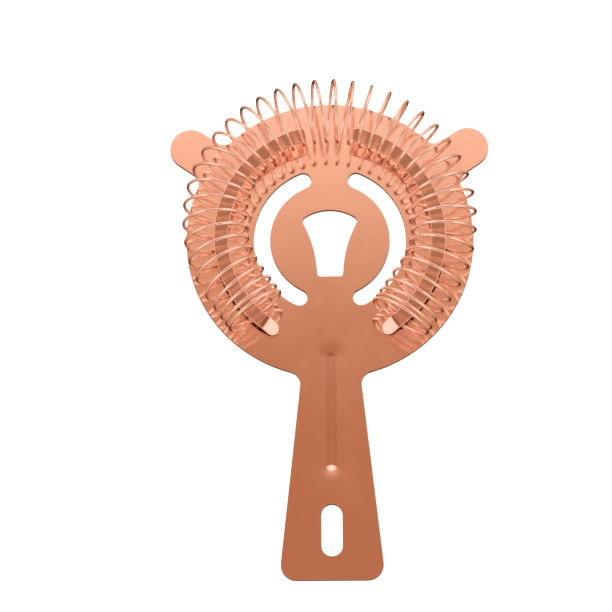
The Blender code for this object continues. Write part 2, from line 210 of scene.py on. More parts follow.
# %% Bell, curved slots and hang slot
ARC_SLOT_INNER = 16.9 * MM
ARC_SLOT_WIDTH = 4.6 * MM
ARC_SLOT_TOP = math.radians(67.0)
ARC_SLOT_BOTTOM = math.radians(-63.0)
BELL_TOP = 8.9 * MM
BELL_BOTTOM = -10.8 * MM
BELL_SHOULDER = 6.0 * MM
BELL_MOUTH_WIDTH = 16.2 * MM
BELL_FOOT_WIDTH = 7.3 * MM
BELL_FOOT_CORNER = 0.8 * MM
BELL_SHOULDER_CORNER = 1.3 * MM
HANG_SLOT_WIDTH = 5.85 * MM
HANG_SLOT_LENGTH = 15.0 * MM
HANG_SLOT_Y = HANDLE_END + 14.35 * MM


def quadratic(first, control, last, steps=12):
    """A smooth corner: a quadratic curve drawn towards its control point."""
    return [
        first * (1 - t) ** 2 + control * (2 * t * (1 - t)) + last * t ** 2
        for t in (i / steps for i in range(steps + 1))
    ]


def clear_of(points, corner, distance):
    """The points that lie further than distance from a corner."""
    return [p for p in points if (p - corner).length > distance]


def bell_outline():
    """The bell from its crown to its flat foot, then its mirror."""
    shoulder = Vector((BELL_MOUTH_WIDTH / 2, BELL_SHOULDER))
    foot = Vector((BELL_FOOT_WIDTH / 2, BELL_BOTTOM))
    sag = BELL_TOP - shoulder.y
    crown_radius = (shoulder.x ** 2 + sag ** 2) / (2 * sag)
    crown_end = math.asin((crown_radius - sag) / crown_radius)
    top = arc((0, BELL_TOP - crown_radius), crown_radius, math.pi / 2, crown_end)
    rise, flare = shoulder.y - foot.y, shoulder.x - foot.x
    side_radius = (rise ** 2 + flare ** 2) / (2 * flare)
    side_turn = math.pi - math.asin(rise / side_radius)
    side = arc((foot.x + side_radius, foot.y), side_radius, side_turn, math.pi)
    top = clear_of(top, shoulder, BELL_SHOULDER_CORNER)
    side = clear_of(clear_of(side, shoulder, BELL_SHOULDER_CORNER), foot, BELL_FOOT_CORNER)
    right = top + quadratic(top[-1], shoulder, side[0]) + side
    right += quadratic(side[-1], foot, Vector((foot.x - BELL_FOOT_CORNER, foot.y)))
    return without_doubles(right + mirrored(right))


def arc_slot_outline():
    """The curved slot on the right, with round ends."""
    outer = ARC_SLOT_INNER + ARC_SLOT_WIDTH
    middle = (ARC_SLOT_INNER + outer) / 2
    cap = ARC_SLOT_WIDTH / 2
    top_cap = (middle * math.cos(ARC_SLOT_TOP), middle * math.sin(ARC_SLOT_TOP))
    low_cap = (middle * math.cos(ARC_SLOT_BOTTOM), middle * math.sin(ARC_SLOT_BOTTOM))
    points = arc((0, 0), outer, ARC_SLOT_BOTTOM, ARC_SLOT_TOP)
    points += arc(top_cap, cap, ARC_SLOT_TOP, ARC_SLOT_TOP + math.pi)
    points += arc((0, 0), ARC_SLOT_INNER, ARC_SLOT_TOP, ARC_SLOT_BOTTOM)
    points += arc(low_cap, cap, ARC_SLOT_BOTTOM + math.pi, ARC_SLOT_BOTTOM + 2 * math.pi)
    return without_doubles(points)


def hang_slot_outline():
    """The straight slot with round ends."""
    half_run = (HANG_SLOT_LENGTH - HANG_SLOT_WIDTH) / 2
    radius = HANG_SLOT_WIDTH / 2
    points = arc((0, HANG_SLOT_Y + half_run), radius, 0, math.pi)
    points += arc((0, HANG_SLOT_Y - half_run), radius, math.pi, 2 * math.pi)
    return without_doubles(points)


right_slot = arc_slot_outline()
openings = [bell_outline(), hang_slot_outline(), right_slot, mirrored(right_slot)]
print("openings:", [len(loop) for loop in openings], "points each")

# %% [markdown]
# ## A sheet with soft edges
#
# Sheet metal is never sharp once it has been tumbled and polished. A Bevel modifier would do
# on a simple block, but on a flat face with holes it leaves long thin triangles whose
# shading smears over a mirror finish. So the sheet is made ring by ring. Each outline is
# moved into the material in small steps along a quarter circle, and one more ring, a little
# further in, keeps the flat face perfectly flat. The faces between rings are plain quads,
# and the flat middle is filled by a constrained Delaunay triangulation.

# %% Rings round an outline
EDGE_STEPS = 5
FLAT_MARGIN = 0.06 * MM


def signed_area(loop):
    """Positive for an outline that runs counter-clockwise."""
    return sum(a.cross(b) for a, b in zip(loop, loop[1:] + loop[:1])) / 2


def inward_normals(loop, is_hole):
    """At each point of an outline, the direction that leads into the material."""
    sign = 1 if (signed_area(loop) > 0) != is_hole else -1
    normals = []
    for before, here, after in zip(loop[-1:] + loop[:-1], loop, loop[1:] + loop[:1]):
        along = (here - before).normalized() + (after - here).normalized()
        normals.append(Vector((-along.y, along.x)).normalized() * sign)
    return normals


def edge_profile(radius, thickness):
    """Rings from the top face to the bottom face as (distance into the sheet, height)."""
    quarter = [math.pi / 2 * i / EDGE_STEPS for i in range(EDGE_STEPS + 1)]
    top = [(radius * (1 - math.sin(a)), thickness - radius * (1 - math.cos(a)))
           for a in quarter]
    bottom = [(inset, thickness - height) for inset, height in reversed(top)]
    return ([(radius + FLAT_MARGIN, thickness)] + top
            + bottom + [(radius + FLAT_MARGIN, 0.0)])


def is_inside(point, loop):
    """Whether a point lies inside a closed loop of points."""
    inside = False
    for a, b in zip(loop, loop[1:] + loop[:1]):
        if (a.y > point.y) != (b.y > point.y):
            if point.x < a.x + (point.y - a.y) * (b.x - a.x) / (b.y - a.y):
                inside = not inside
    return inside


# %% The soft-edged sheet itself


def fill_face(bm, loops, inner, height, upward):
    """Triangulate the flat part between the loops, through the inner points."""
    points, edges = [], []
    for loop in loops:
        first = len(points)
        points += loop
        edges += [(first + i, first + (i + 1) % len(loop)) for i in range(len(loop))]
    spots, _, triangles, *_ = delaunay_2d_cdt(points + inner, edges, [], 1, SMALLEST_EDGE / 10)
    verts = [bm.verts.new((spot.x, spot.y, height)) for spot in spots]
    for triangle in triangles:
        middle = sum((spots[i] for i in triangle), Vector((0, 0))) / 3
        if not any(is_inside(middle, hole) for hole in loops[1:]):
            corners = [verts[i] for i in triangle]
            bm.faces.new(corners if upward else corners[::-1])


def soft_sheet(outer, holes, inner, thickness, edge_radius):
    """A flat sheet on Z = 0 with holes and rounded edges, as a bmesh."""
    bm = bmesh.new()
    profile = edge_profile(edge_radius, thickness)
    flat_loops = []
    for number, loop in enumerate([outer] + holes):
        normals = inward_normals(loop, is_hole=number > 0)
        rings = []
        for inset, height in profile:
            spots = [p + n * inset for p, n in zip(loop, normals)]
            rings.append([bm.verts.new((s.x, s.y, height)) for s in spots])
        flat_loops.append([p + n * profile[0][0] for p, n in zip(loop, normals)])
        for ring, lower in zip(rings, rings[1:]):
            for i in range(len(ring)):
                bm.faces.new((ring[i - 1], ring[i], lower[i], lower[i - 1]))
    fill_face(bm, flat_loops, inner, thickness, upward=True)
    fill_face(bm, flat_loops, inner, 0.0, upward=False)
    bmesh.ops.remove_doubles(bm, verts=bm.verts, dist=SMALLEST_EDGE / 2)
    bmesh.ops.recalc_face_normals(bm, faces=bm.faces)
    return bm


def finished_object(name, bm, move=(0, 0, 0)):
    """Write a bmesh to an object that sits at the origin, with its place in its mesh."""
    bmesh.ops.translate(bm, verts=bm.verts, vec=move)
    mesh = bpy.data.meshes.new(name)
    bm.to_mesh(mesh)
    bm.free()
    mesh.shade_smooth()
    piece = bpy.data.objects.new(name, mesh)
    bpy.context.scene.collection.objects.link(piece)
    open_edges = sum(1 for n in edge_use(mesh).values() if n != 2)
    print(f"{name}: {len(mesh.polygons)} faces, {open_edges} open edges")
    return piece


def edge_use(mesh):
    """How many faces use each edge. A closed mesh has 2 everywhere."""
    use = {}
    for polygon in mesh.polygons:
        for key in polygon.edge_keys:
            use[key] = use.get(key, 0) + 1
    return use


# %% [markdown]
# ## The stamped plate
#
# A bead is pressed into the handle to stiffen it: a narrow straight fold in a wide, shallow
# dish. Both are the same all round the fold line, so the depth follows from one thing only,
# the distance to that line. Together they stay shallower than the bead of the frame's plate.
# The sheet is filled with rings of points there, and each point is pushed down by a smooth
# formula. A smooth formula matters more than many points, because a mirror finish shows
# every kink in the slope.

# %% The pressed bead
BEAD_WIDTH = 11.0 * MM
BEAD_TOP = 11.6 * MM - DISC_RADIUS
BEAD_LOW = HANG_SLOT_Y + HANG_SLOT_LENGTH / 2 + 5.9 * MM
BEAD_REACH = BEAD_WIDTH / 2
DISH_DEPTH = 0.20 * BEAD_DEPTH
FOLD_DEPTH = 0.20 * BEAD_DEPTH
DISH_REACH = 5.8 * MM
FOLD_REACH = 1.7 * MM
FOLD_ROUND = 0.25 * MM
SLOPE_POWER = 2.2
RING_CROWDING = 1.6
BEAD_RINGS = 26
BEAD_SPOKES = 32
BEAD_ROWS = 96
LINE_TOP = BEAD_TOP - BEAD_REACH
LINE_LOW = BEAD_LOW + BEAD_REACH


def bead_drop(x, y):
    """How far the bead presses the sheet down: a wide shallow dish and a narrow fold."""
    beyond = y - max(LINE_LOW, min(y, LINE_TOP))
    distance = math.hypot(x, beyond, FOLD_ROUND) - FOLD_ROUND
    dish = max(0.0, 1 - distance / DISH_REACH)
    fold = max(0.0, 1 - distance / FOLD_REACH)
    return DISH_DEPTH * dish ** SLOPE_POWER + FOLD_DEPTH * fold ** SLOPE_POWER


def bead_grid():
    """Rings of points round the fold line, closer together near it."""
    points = []
    for ring in range(BEAD_RINGS + 1):
        reach = DISH_REACH * (ring / BEAD_RINGS) ** RING_CROWDING
        for i in range(BEAD_SPOKES + 1):
            turn = math.pi * i / BEAD_SPOKES
            aside = Vector((math.cos(turn), math.sin(turn))) * reach
            points += [Vector((0, LINE_TOP)) + aside, Vector((0, LINE_LOW)) - aside]
        for row in range(1, BEAD_ROWS):
            y = LINE_LOW + (LINE_TOP - LINE_LOW) * row / BEAD_ROWS
            points += [Vector((-reach, y)), Vector((reach, y))]
    return without_doubles(points)


# %% Build the plate
PLATE_EDGE = 0.07 * MM

sheet = soft_sheet(plate_outline(), openings, bead_grid(), PLATE_THICKNESS, PLATE_EDGE)
for vert in sheet.verts:
    vert.co.z -= bead_drop(vert.co.x, vert.co.y)
plate = finished_object("stamped_plate", sheet, (0, DISC_Y, BACK_Z))

# %% [markdown]
# ## The retaining arms
#
# Each arm is a flat strip, cut with round corners, bent in a curve and turned down at its
# foot, where it is welded to the plate. It is made as it is on the bench. First the strip is
# cut flat with the same soft-edged sheet, its length along X. Then every point is carried
# along the curve and up the incline.

# %% The arms' path
ARM_WIDTH = 4.0 * MM
ARM_THICKNESS = 1.0 * MM
ARM_CENTRE_DROP = 0.6 * MM
ARM_TIP_ANGLE = math.radians(12.6)
ARM_BEND_ANGLE = math.radians(143.5)
ARM_TIP_CORNER = 1.1 * MM
FOOT_LENGTH = 4.2 * MM
ARM_BEND_GAP = 2.24 * MM

_, arm_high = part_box("retaining_arm_right")
ARM_RADIUS = arm_high.x - ARM_WIDTH / 2
ARM_TIP_GAP = arm_high.z - ARM_THICKNESS - FACE_Z
ARM_RUN = (ARM_BEND_ANGLE - ARM_TIP_ANGLE) * ARM_RADIUS
ARM_LENGTH = ARM_RUN + FOOT_LENGTH
print(f"arm radius {ARM_RADIUS / MM:.2f} mm, free end {ARM_TIP_GAP / MM:.2f} mm up")


def arm_place(run, across):
    """Where a point of the flat right strip goes, seen from above, about the disc's centre."""
    angle = math.pi / 2 - ARM_TIP_ANGLE - min(run, ARM_RUN) / ARM_RADIUS
    outward = Vector((math.cos(angle), math.sin(angle)))
    along = Vector((outward.y, -outward.x))
    centre = Vector((0, -ARM_CENTRE_DROP)) + outward * (ARM_RADIUS + across)
    return centre + along * max(0.0, run - ARM_RUN)


def arm_rise(run, y):
    """Height of the strip's underside over the plate: a flat incline, then the foot."""
    bend_y = arm_place(ARM_RUN, 0).y
    tip_y = arm_place(0, 0).y
    incline = ARM_BEND_GAP + (ARM_TIP_GAP - ARM_BEND_GAP) * (y - bend_y) / (tip_y - bend_y)
    down = max(0.0, run - ARM_RUN) / FOOT_LENGTH
    return incline * (1 - down)


# %% Cut the strip flat, then bend it
ARM_EDGE = 0.2 * MM
STRIP_STEP = 0.8 * MM
STRIP_ROWS = (-0.8, -0.4, 0.0, 0.4, 0.8)


def strip_outline():
    """The flat strip along X: small corners at the free end, a round foot at the other."""
    half = ARM_WIDTH / 2
    corner = ARM_TIP_CORNER
    quarter = math.pi / 2
    sides = []
    count = math.ceil((ARM_LENGTH - corner - half) / STRIP_STEP)
    for i in range(1, count):
        sides.append(corner + (ARM_LENGTH - corner - half) * i / count)
    points = arc((ARM_LENGTH - half, 0), half, -quarter, quarter)
    points += [Vector((x, half)) for x in reversed(sides)]
    points += arc((corner, half - corner), corner, quarter, 2 * quarter)
    points += arc((corner, corner - half), corner, 2 * quarter, 3 * quarter)
    return without_doubles(points + [Vector((x, -half)) for x in sides])


def strip_grid():
    """Points inside the strip, so that it can bend smoothly."""
    count = math.ceil(ARM_LENGTH / STRIP_STEP)
    inner = ARM_WIDTH / 2 - ARM_EDGE - 2 * FLAT_MARGIN
    return [
        Vector((ARM_LENGTH * i / count, inner * share))
        for i in range(1, count)
        for share in STRIP_ROWS
        if ARM_TIP_CORNER < ARM_LENGTH * i / count < ARM_LENGTH - ARM_WIDTH / 2
    ]


def make_arm(name, side):
    """Side is 1 for the right arm and -1 for the left."""
    strip = soft_sheet(strip_outline(), [], strip_grid(), ARM_THICKNESS, ARM_EDGE)
    for vert in strip.verts:
        run, across, lift = vert.co
        spot = arm_place(run, across)
        vert.co = (side * spot.x, spot.y, arm_rise(run, spot.y) + lift)
    bmesh.ops.recalc_face_normals(strip, faces=strip.faces)
    return finished_object(name, strip, (0, DISC_Y, FACE_Z))


arms = {"left": make_arm("bent_arm_left", -1), "right": make_arm("bent_arm_right", 1)}

# %% [markdown]
# ## The coil spring
#
# The spring is one round wire. Its centre line is a helix whose axis is bent round the front
# of the disc: a point goes round the coil while it travels round the ring. A Screw modifier
# can't bend its axis, and a typed list of points couldn't be changed later, so this is a job
# for Geometry Nodes. A straight line of points is made first. For each point the nodes work
# out how many turns it is from the front, then where that lies, and a small circle is swept
# along the result. Every size is a named input of the tree.

# %% Sizes of the spring
WIRE_DIAMETER = 0.9 * MM
RING_RADIUS = 32.4 * MM
OPEN_TURNS = 16
CLOSING_TURNS = 4
CLOSED_PITCH = 1.3 * MM
END_SETBACK = 1.5 * MM
FRONT_SHIFT = 0.9 * MM
STRAIGHT_END = 11.5 * MM
LEAD_TURN = 0.17
TAIL_TURN = 0.62

LAST_TURN = OPEN_TURNS + CLOSING_TURNS
RING_CENTRE_Y = spring_high.y - COIL_DIAMETER / 2 - RING_RADIUS
bend_spot = arm_place(ARM_RUN, 0)
bend_turn = math.atan2(bend_spot.x, bend_spot.y + DISC_Y - RING_CENTRE_Y)
HALF_SPRING = RING_RADIUS * bend_turn - END_SETBACK
COIL_PITCH = (HALF_SPRING - CLOSING_TURNS * CLOSED_PITCH / 2) / (OPEN_TURNS + CLOSING_TURNS / 2)
print(f"coil pitch {COIL_PITCH / MM:.3f} mm along the middle of the coil")

# %% [markdown]
# Long formulas are hard to read as node links. Two small helpers make them read like
# arithmetic: `calc` adds one Math node and wires up its values, and `clamped` keeps a value
# between two others.

# %% Helpers for formulas in a node tree


def calc(tree, operation, *values):
    """One Math node. A value is a number or another node's output."""
    node = tree.nodes.new("ShaderNodeMath")
    node.operation = operation
    for socket, value in zip(node.inputs, values):
        if isinstance(value, bpy.types.NodeSocket):
            tree.links.new(value, socket)
        else:
            socket.default_value = value
    return node.outputs[0]


def clamped(tree, value, low, high):
    """A value kept between low and high."""
    return calc(tree, "MINIMUM", calc(tree, "MAXIMUM", value, low), high)


def named_input(tree, name, kind, default=None):
    """Add an input to a node tree, with a default if it has one."""
    socket = tree.interface.new_socket(name, in_out="INPUT", socket_type=kind)
    if default is not None:
        socket.default_value = default
    return socket


# %% The tree's inputs
UNEVENNESS = 0.35 * MM
UNEVENNESS_SEED = 3
POINTS_PER_TURN = 64
WIRE_SIDES = 16

spring_sizes = {
    "Ring Radius": RING_RADIUS,
    "Coil Radius": (COIL_DIAMETER - WIRE_DIAMETER) / 2,
    "Wire Radius": WIRE_DIAMETER / 2,
    "Pitch": COIL_PITCH,
    "Closed Pitch": CLOSED_PITCH,
    "Open Turns": float(OPEN_TURNS),
    "Closing Turns": float(CLOSING_TURNS),
    "First Turn": -LAST_TURN - LEAD_TURN,
    "Final Turn": LAST_TURN + TAIL_TURN,
    "Front Shift": FRONT_SHIFT,
    "Bent Half": HALF_SPRING - STRAIGHT_END,
    "Unevenness": UNEVENNESS,
    "Centre Y": RING_CENTRE_Y,
    "Axis Height": COIL_AXIS_Z,
}

tree = bpy.data.node_groups.new("bent_coil", "GeometryNodeTree")
tree.interface.new_socket("Geometry", in_out="OUTPUT", socket_type="NodeSocketGeometry")
for input_name, size in spring_sizes.items():
    named_input(tree, input_name, "NodeSocketFloat", size)
named_input(tree, "Points", "NodeSocketInt", 100)
named_input(tree, "Wire Sides", "NodeSocketInt", WIRE_SIDES)
named_input(tree, "Seed", "NodeSocketInt", UNEVENNESS_SEED)
named_input(tree, "Finish", "NodeSocketMaterial")
given = tree.nodes.new("NodeGroupInput").outputs
print("inputs of the coil's tree:", len(given) - 1)

# %% [markdown]
# The turns are counted from the front turn, where the count is 0, to minus and plus 20 at
# the ends. Whole numbers are the outermost points. The travel along the ring grows evenly
# with the count, then slower where the turns draw together at each end.

# %% From turn count to travel
index = tree.nodes.new("GeometryNodeInputIndex").outputs[0]
share = calc(tree, "DIVIDE", index, calc(tree, "SUBTRACT", given["Points"], 1.0))
span = calc(tree, "SUBTRACT", given["Final Turn"], given["First Turn"])
turn = calc(tree, "MULTIPLY_ADD", share, span, given["First Turn"])
count = calc(tree, "ABSOLUTE", turn)
last_turn = calc(tree, "ADD", given["Open Turns"], given["Closing Turns"])
closing = clamped(tree, calc(tree, "SUBTRACT", count, given["Open Turns"]),
                  0.0, given["Closing Turns"])
past = calc(tree, "MAXIMUM", calc(tree, "SUBTRACT", count, last_turn), 0.0)
shrink = calc(tree, "DIVIDE", calc(tree, "SUBTRACT", given["Pitch"], given["Closed Pitch"]),
              given["Closing Turns"])
even = calc(tree, "MULTIPLY", given["Pitch"], calc(tree, "SUBTRACT", count, past))
drawn = calc(tree, "MULTIPLY", calc(tree, "MULTIPLY", closing, closing),
             calc(tree, "MULTIPLY", shrink, 0.5))
travel = calc(tree, "MULTIPLY_ADD", past, given["Closed Pitch"],
              calc(tree, "SUBTRACT", even, drawn))
travel = calc(tree, "MULTIPLY_ADD", travel, calc(tree, "SIGN", turn), given["Front Shift"])

# %% [markdown]
# No hand-wound spring is perfectly even. A little noise that changes slowly from turn to
# turn moves each turn along the ring by a fraction of a millimetre.

# %% Unevenness from turn to turn
NOISE_STEP = 0.9

noise = tree.nodes.new("ShaderNodeTexNoise")
noise.noise_dimensions = "2D"
noise.inputs["Scale"].default_value = 1.0
noise.inputs["Detail"].default_value = 1.0
where = tree.nodes.new("ShaderNodeCombineXYZ")
tree.links.new(calc(tree, "MULTIPLY", turn, NOISE_STEP), where.inputs["X"])
tree.links.new(given["Seed"], where.inputs["Y"])
tree.links.new(where.outputs[0], noise.inputs["Vector"])
centred = calc(tree, "SUBTRACT", noise.outputs[0], 0.5)
travel = calc(tree, "MULTIPLY_ADD", centred, given["Unevenness"], travel)

# %% [markdown]
# A free end of a spring carries no bending load, so it runs straight: the axis follows the
# ring only over its bent part and then leaves it along the tangent, and the last turns keep
# facing the same way.

# %% From travel to a point on the wire
bent = clamped(tree, travel, calc(tree, "MULTIPLY", given["Bent Half"], -1.0),
               given["Bent Half"])
beyond = calc(tree, "SUBTRACT", travel, bent)
angle = calc(tree, "DIVIDE", bent, given["Ring Radius"])
sine, cosine = calc(tree, "SINE", angle), calc(tree, "COSINE", angle)
phase = calc(tree, "MULTIPLY", turn, 2 * math.pi)
reach = calc(tree, "MULTIPLY_ADD", calc(tree, "COSINE", phase), given["Coil Radius"],
             given["Ring Radius"])
point = tree.nodes.new("ShaderNodeCombineXYZ")
tree.links.new(calc(tree, "ADD", calc(tree, "MULTIPLY", reach, sine),
                    calc(tree, "MULTIPLY", beyond, cosine)), point.inputs["X"])
tree.links.new(calc(tree, "ADD", calc(tree, "MULTIPLY_ADD", reach, cosine, given["Centre Y"]),
                    calc(tree, "MULTIPLY", beyond, calc(tree, "MULTIPLY", sine, -1.0))),
               point.inputs["Y"])
tree.links.new(calc(tree, "MULTIPLY_ADD", calc(tree, "SINE", phase), given["Coil Radius"],
                    given["Axis Height"]), point.inputs["Z"])

# %% Sweep the wire along the points
line = tree.nodes.new("GeometryNodeCurvePrimitiveLine")
resample = tree.nodes.new("GeometryNodeResampleCurve")
settle = tree.nodes.new("GeometryNodeSetPosition")
circle = tree.nodes.new("GeometryNodeCurvePrimitiveCircle")
sweep = tree.nodes.new("GeometryNodeCurveToMesh")
smooth = tree.nodes.new("GeometryNodeSetShadeSmooth")
realize = tree.nodes.new("GeometryNodeRealizeInstances")
paint = tree.nodes.new("GeometryNodeSetMaterial")
result = tree.nodes.new("NodeGroupOutput")
tree.links.new(line.outputs["Curve"], resample.inputs["Curve"])
tree.links.new(given["Points"], resample.inputs["Count"])
tree.links.new(resample.outputs["Curve"], settle.inputs["Geometry"])
tree.links.new(point.outputs[0], settle.inputs["Position"])
tree.links.new(given["Wire Radius"], circle.inputs["Radius"])
tree.links.new(given["Wire Sides"], circle.inputs["Resolution"])
tree.links.new(settle.outputs["Geometry"], sweep.inputs["Curve"])
tree.links.new(circle.outputs["Curve"], sweep.inputs["Profile Curve"])
sweep.inputs["Fill Caps"].default_value = True
tree.links.new(sweep.outputs["Mesh"], smooth.inputs["Geometry"])
tree.links.new(smooth.outputs["Geometry"], realize.inputs["Geometry"])
tree.links.new(realize.outputs["Geometry"], paint.inputs["Geometry"])
tree.links.new(given["Finish"], paint.inputs["Material"])
tree.links.new(paint.outputs["Geometry"], result.inputs["Geometry"])
print("nodes in the coil's tree:", len(tree.nodes))

# %% [markdown]
# ## The finishes
#
# All four pieces carry the same copper-coloured plating, polished to a mirror, but each was
# made differently. The plate was rolled and buffed, the arms were slit from strip, and the
# wire was drawn. Two effects are shared and are built once as shader groups, with a value
# for each material: a faint haze where polish varies, and hairlines left by buffing. Both
# only change colour, roughness and the surface's height by a trace.

# %% Helpers for shader groups


def shader_group(name, inputs, outputs):
    """A shader node group with named float or colour inputs and outputs."""
    group = bpy.data.node_groups.new(name, "ShaderNodeTree")
    for socket_name, kind, default in inputs:
        named_input(group, socket_name, kind, default)
    for socket_name, kind in outputs:
        group.interface.new_socket(socket_name, in_out="OUTPUT", socket_type=kind)
    given_values = group.nodes.new("NodeGroupInput").outputs
    return group, given_values, group.nodes.new("NodeGroupOutput").inputs


def noise_at(tree, vector, scale, detail=2.0, roughness=0.5):
    """A noise texture read at a vector. Scale is a number or an output."""
    node = tree.nodes.new("ShaderNodeTexNoise")
    node.inputs["Detail"].default_value = detail
    node.inputs["Roughness"].default_value = roughness
    tree.links.new(vector, node.inputs["Vector"])
    if isinstance(scale, bpy.types.NodeSocket):
        tree.links.new(scale, node.inputs["Scale"])
    else:
        node.inputs["Scale"].default_value = scale
    return node.outputs["Fac"]


def ranged(tree, value, from_low, from_high, to_low, to_high):
    """A value carried smoothly from one range to another."""
    node = tree.nodes.new("ShaderNodeMapRange")
    node.interpolation_type = "SMOOTHSTEP"
    limits = ("From Min", "From Max", "To Min", "To Max")
    for socket_name, limit in zip(limits, (from_low, from_high, to_low, to_high)):
        if isinstance(limit, bpy.types.NodeSocket):
            tree.links.new(limit, node.inputs[socket_name])
        else:
            node.inputs[socket_name].default_value = limit
    tree.links.new(value, node.inputs["Value"])
    return node.outputs["Result"]


# %% Polish haze: a soft mask and the roughness that goes with it
FINE_SCALE_RATIO = 7.0
FINE_SHARE = 0.35

haze, haze_in, haze_out = shader_group(
    "polish_haze",
    [("Patch Scale", "NodeSocketFloat", 60.0),
     ("Smoothest", "NodeSocketFloat", 0.05),
     ("Dullest", "NodeSocketFloat", 0.12)],
    [("Mask", "NodeSocketFloat"), ("Roughness", "NodeSocketFloat")])
place = haze.nodes.new("ShaderNodeTexCoord").outputs["Object"]
patches = noise_at(haze, place, haze_in["Patch Scale"], detail=3.0)
fine_scale = calc(haze, "MULTIPLY", haze_in["Patch Scale"], FINE_SCALE_RATIO)
fine = noise_at(haze, place, fine_scale)
blend = calc(haze, "MULTIPLY_ADD", fine, FINE_SHARE,
             calc(haze, "MULTIPLY", patches, 1 - FINE_SHARE))
haze.links.new(ranged(haze, blend, 0.35, 0.65, 0.0, 1.0), haze_out["Mask"])
haze.links.new(ranged(haze, blend, 0.3, 0.7, haze_in["Smoothest"], haze_in["Dullest"]),
               haze_out["Roughness"])

# %% Buffing lines: hairlines and slow waves, as a normal
buffing, buffing_in, buffing_out = shader_group(
    "buffing_lines",
    [("Line Scale", "NodeSocketFloat", 900.0),
     ("Line Depth", "NodeSocketFloat", 0.02),
     ("Wave Scale", "NodeSocketFloat", 40.0),
     ("Wave Depth", "NodeSocketFloat", 0.05)],
    [("Normal", "NodeSocketVector")])
place = buffing.nodes.new("ShaderNodeTexCoord").outputs["Object"]
stretch = buffing.nodes.new("ShaderNodeMapping")
stretch.inputs["Scale"].default_value = (1.0, 0.06, 1.0)
buffing.links.new(place, stretch.inputs["Vector"])
lines = noise_at(buffing, stretch.outputs[0], buffing_in["Line Scale"], detail=3.0)
waves = noise_at(buffing, place, buffing_in["Wave Scale"], detail=0.0)
height = calc(buffing, "MULTIPLY_ADD", lines, buffing_in["Line Depth"],
              calc(buffing, "MULTIPLY", waves, buffing_in["Wave Depth"]))
bump = buffing.nodes.new("ShaderNodeBump")
bump.inputs["Strength"].default_value = 1.0
bump.inputs["Distance"].default_value = 1.0 * MM
buffing.links.new(height, bump.inputs["Height"])
buffing.links.new(bump.outputs["Normal"], buffing_out["Normal"])
print("shader groups:", haze.name, buffing.name)

# %% [markdown]
# A plated finish is one Principled shader: fully metallic, with a base colour that is the
# colour of the metal's reflection. The base colour moves a trace between two tones with the
# haze mask.

# %% One function for every plated finish


def plated(name, tones, haze_values, buffing_values):
    """A polished plated metal. Tones are the clear and the hazy colour."""
    material = bpy.data.materials.new(name)
    material.use_nodes = True
    nodes, links = material.node_tree.nodes, material.node_tree.links
    shader = nodes["Principled BSDF"]
    shader.inputs["Metallic"].default_value = 1.0
    polish = nodes.new("ShaderNodeGroup")
    polish.node_tree = haze
    for socket_name, value in haze_values.items():
        polish.inputs[socket_name].default_value = value
    marks = nodes.new("ShaderNodeGroup")
    marks.node_tree = buffing
    for socket_name, value in buffing_values.items():
        marks.inputs[socket_name].default_value = value
    mix = nodes.new("ShaderNodeMix")
    mix.data_type = "RGBA"
    mix.inputs["A"].default_value = (*tones[0], 1.0)
    mix.inputs["B"].default_value = (*tones[1], 1.0)
    links.new(polish.outputs["Mask"], mix.inputs["Factor"])
    links.new(mix.outputs["Result"], shader.inputs["Base Color"])
    links.new(polish.outputs["Roughness"], shader.inputs["Roughness"])
    links.new(marks.outputs["Normal"], shader.inputs["Normal"])
    material.diffuse_color = (*tones[0], 1.0)
    return material


CLEAR_COPPER = (0.955, 0.73, 0.64)
HAZY_COPPER = (0.945, 0.71, 0.62)

plate_finish = plated(
    "buffed_copper_plate", (CLEAR_COPPER, HAZY_COPPER),
    {"Patch Scale": 45.0, "Smoothest": 0.07, "Dullest": 0.11},
    {"Line Scale": 1400.0, "Line Depth": 0.004, "Wave Scale": 25.0, "Wave Depth": 0.012})
arm_finish = plated(
    "rolled_copper_strip", (CLEAR_COPPER, HAZY_COPPER),
    {"Patch Scale": 90.0, "Smoothest": 0.08, "Dullest": 0.13},
    {"Line Scale": 1600.0, "Line Depth": 0.005, "Wave Scale": 60.0, "Wave Depth": 0.010})
wire_finish = plated(
    "drawn_copper_wire", (CLEAR_COPPER, HAZY_COPPER),
    {"Patch Scale": 160.0, "Smoothest": 0.05, "Dullest": 0.10},
    {"Line Scale": 2200.0, "Line Depth": 0.004, "Wave Scale": 220.0, "Wave Depth": 0.008})
print("finishes:", [m.name for m in (plate_finish, arm_finish, wire_finish)])

# %% [markdown]
# The tree is now given to a modifier. Its inputs are set by each socket's identifier before
# the object is evaluated for the first time. The evaluated result becomes a plain mesh, the
# modifier goes, and the two cut ends of the wire get a tiny bevel, as side cutters and a
# file leave them.

# %% Bake the coil to a mesh
WIRE_END_BEVEL = 0.12 * MM
CAP_ANGLE = math.radians(60)

total_turns = spring_sizes["Final Turn"] - spring_sizes["First Turn"]
tree_values = dict(spring_sizes)
tree_values.update({
    "Points": round(total_turns * POINTS_PER_TURN) + 1,
    "Wire Sides": WIRE_SIDES,
    "Seed": UNEVENNESS_SEED,
    "Finish": wire_finish,
})
helper = bpy.data.objects.new("coil_helper", bpy.data.meshes.new("coil_helper"))
bpy.context.scene.collection.objects.link(helper)
modifier = helper.modifiers.new("bent_coil", "NODES")
modifier.node_group = tree
for item in tree.interface.items_tree:
    if item.in_out == "INPUT":
        modifier[item.identifier] = tree_values[item.name]
baked = bpy.data.meshes.new_from_object(
    helper.evaluated_get(bpy.context.evaluated_depsgraph_get()))
bpy.data.objects.remove(helper)

